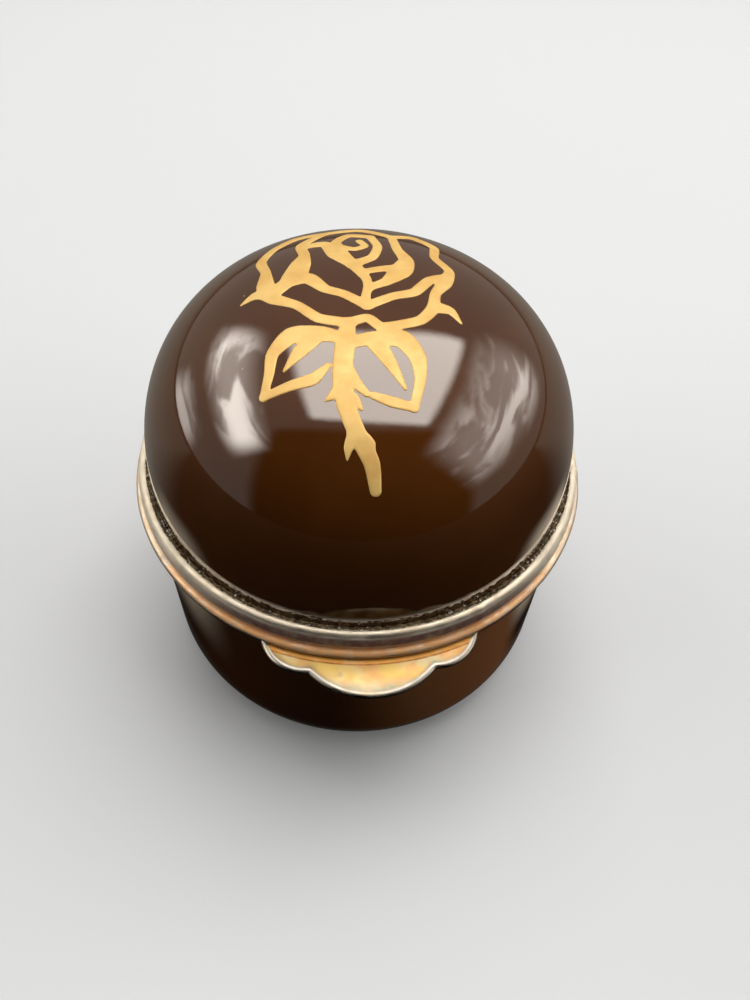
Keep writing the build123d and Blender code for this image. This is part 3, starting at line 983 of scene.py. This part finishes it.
def build_floor():
    """A plain pale floor that fades into the backdrop. The glaze mirrors a darker floor with painted
    light and shade.
    """
    half = 4.0
    corners = [(-half, -half, 0), (half, -half, 0), (half, half, 0), (-half, half, 0)]
    mesh = bpy.data.meshes.new("floor")
    mesh.from_pydata(corners, [], [(0, 1, 2, 3)])
    floor = bpy.data.objects.new("floor", mesh)
    scene.collection.objects.link(floor)
    material, tree, shader = new_material("floor")
    seen = add_node(tree, "LightPath").outputs["Is Camera Ray"]
    spot = coordinates(tree)
    depth = spot["Y"]
    on_right = spread(tree, spot["X"], -0.006, 0.012)
    # painted shadow: the mirrored floor is darkest in front of the box and paler behind it
    mirrored_floor_shading = mix(tree, spread(tree, depth, -0.010, 0.030), (0.004, 0.002, 0.001), (0.15, 0.135, 0.115))
    # painted light: paler bands on the mirrored floor to the left and right of the box
    near, far_side = spread(tree, depth, -0.020, -0.006), spread(tree, depth, 0.004, 0.016, 1.0, 0.0)
    painted_side_bands = product(tree, near, far_side, from_axis(tree, 27, 33, 44, 62))
    mirrored_floor_shading = mix(tree, painted_side_bands, mirrored_floor_shading, mix(tree, on_right, (0.28, 0.235, 0.18), (0.44, 0.37, 0.28)))
    # painted reflection: a brown glow on the mirrored floor at the front right
    in_front = spread(tree, depth, -0.016, -0.010, 1.0, 0.0)
    before = product(tree, on_right, in_front, from_axis(tree, 23, 26, 33, 39))
    mirrored_floor_shading = mix(tree, before, mirrored_floor_shading, (0.13, 0.055, 0.022))
    # painted light: a dim grey ring on the mirrored floor round the foot
    mirrored_floor_shading = mix(tree, from_axis(tree, 17, 19, 23, 27), mirrored_floor_shading, (0.10, 0.095, 0.085))
    away = product(tree, seen, from_axis(tree, 150, 600, 9000, 9001))
    colour = mix(tree, away, mix(tree, seen, mirrored_floor_shading, (0.62, 0.62, 0.615)), (0.0, 0.0, 0.0))
    feed(tree, shader, Base_Color=colour, Roughness=0.9, Specular_IOR_Level=0.1)
    feed(tree, shader, Emission_Color=(*backdrop, 1.0), Emission_Strength=away)
    mesh.materials.append(material)


def heading(azimuth, elevation):
    """A unit direction. Azimuth 0 is the front, and 90 the right."""
    a, e = radians(azimuth), radians(elevation)
    return Vector((sin(a) * cos(e), -cos(a) * cos(e), sin(e)))


def softbox(name, azimuth, elevation, distance, size, radiance):
    """A rectangular light aimed at the box. What the glaze mirrors is in the world, not here."""
    light = bpy.data.lights.new(name, "AREA")
    light.shape = "RECTANGLE"
    light.size, light.size_y = size
    light.energy = radiance * pi * size[0] * size[1]
    lamp = bpy.data.objects.new(name, light)
    way = heading(azimuth, elevation)
    lamp.location = Vector((0, 0, 0.03)) + way * distance
    lamp.rotation_euler = way.to_track_quat("Z", "Y").to_euler()
    lamp.visible_camera = False
    lamp.visible_glossy = False
    scene.collection.objects.link(lamp)


def panel(tree, way, azimuth, elevation, half, soft, turn=0.0):
    """A soft-edged rectangle in the mirrored room: 1 inside and 0 outside. Sizes are slopes."""
    ahead = heading(azimuth, elevation)
    facing = ahead.to_track_quat("Z", "Y").to_matrix() @ Matrix.Rotation(radians(turn), 3, "Z")
    across, upward = facing.col[0], facing.col[1]

    def along(axis):
        return vector_maths(tree, "DOT_PRODUCT", way, tuple(axis), "Value")
    depth = along(ahead)
    glow = maths(tree, "GREATER_THAN", depth, 0.05)
    for axis, reach in ((across, half[0]), (upward, half[1])):
        slope = maths(tree, "ABSOLUTE", maths(tree, "DIVIDE", along(axis), depth), 0.0)
        glow = product(tree, glow, spread(tree, slope, reach - soft, reach + soft, 1.0, 0.0))
    return glow


def build_world():
    """The room: a white tent with an open, dark front, as the glaze and the metal mirror it."""
    world = bpy.data.worlds.new("studio")
    world.use_nodes = True
    tree = world.node_tree
    tree.nodes.clear()
    path = add_node(tree, "LightPath").outputs
    way = add_node(tree, "TexCoord").outputs["Generated"]
    hung = vector_maths(tree, "MULTIPLY", way, (1.0, 1.0, 3.2))
    inputs = {"Vector": hung, "Scale": 2.1, "Detail": 3.0, "Distortion": 0.6}
    folds = add_node(tree, "TexNoise", inputs).outputs["Fac"]
    crumple = spread(tree, folds, 0.41, 0.58, 0.28, 1.0)
    window = product(tree, panel(tree, way, 160, 73, (0.44, 0.44), 0.05, 14), 4.8)
    left = product(tree, panel(tree, way, -106, 39, (0.52, 0.17), 0.14), 7.8)
    patch = product(tree, panel(tree, way, -108, 4, (0.22, 0.13), 0.12), 2.2)
    right = product(tree, panel(tree, way, 90, 33, (0.60, 0.30), 0.20, -12), 4.2)
    walls = product(tree, maths(tree, "ADD", maths(tree, "ADD", left, patch), right), crumple)
    opening = panel(tree, way, -2, 18, (1.35, 1.7), 0.22)
    tent_glow = 0.28
    tent = maths(tree, "SUBTRACT", tent_glow, product(tree, opening, tent_glow))
    mirrored = maths(tree, "ADD", maths(tree, "ADD", tent, window), walls)
    glow = mix(tree, path["Is Glossy Ray"], (0.05, 0.05, 0.05), (1.0, 0.93, 0.85))
    strength = mix(tree, path["Is Glossy Ray"], (1.0, 1.0, 1.0), mirrored)
    room = add_node(tree, "Mix", {0: 1.0, 6: glow, 7: strength}, data_type="RGBA", blend_type="MULTIPLY")
    colour = mix(tree, path["Is Camera Ray"], room.outputs[2], backdrop)
    back = add_node(tree, "Background", {"Color": colour, "Strength": 1.0})
    out = add_node(tree, "OutputWorld")
    tree.links.new(back.outputs[0], out.inputs[0])
    scene.world = world


def build_camera():
    """The camera stands a hand's width in front of the box and looks steeply down at it."""
    data = bpy.data.cameras.new("camera")
    data.lens = 29.5
    data.clip_start = 0.005
    camera = bpy.data.objects.new("camera", data)
    stand = Vector((-4.33, -61.42, 102.33)) * MM
    aim = Vector((1.63, -4.72, 26.12)) * MM
    roll = radians(3.15)
    forward = (aim - stand).normalized()
    level = forward.cross(Vector((0, 0, 1))).normalized()
    upright = level.cross(forward)
    right = level * cos(roll) + upright * sin(roll)
    up = upright * cos(roll) - level * sin(roll)
    turned_to = Matrix((right, up, -forward)).transposed().to_4x4()
    camera.matrix_world = Matrix.Translation(stand) @ turned_to
    scene.collection.objects.link(camera)
    scene.camera = camera


build_floor()
build_world()
softbox("overhead", 160, 73, 0.60, (0.52, 0.52), 4.5)
softbox("left", -100, 28, 1.00, (1.24, 0.68), 2.1)
softbox("right", 92, 28, 1.00, (1.40, 0.80), 2.3)
build_camera()
scene.view_settings.view_transform = "Standard"

bpy.context.view_layer.update()
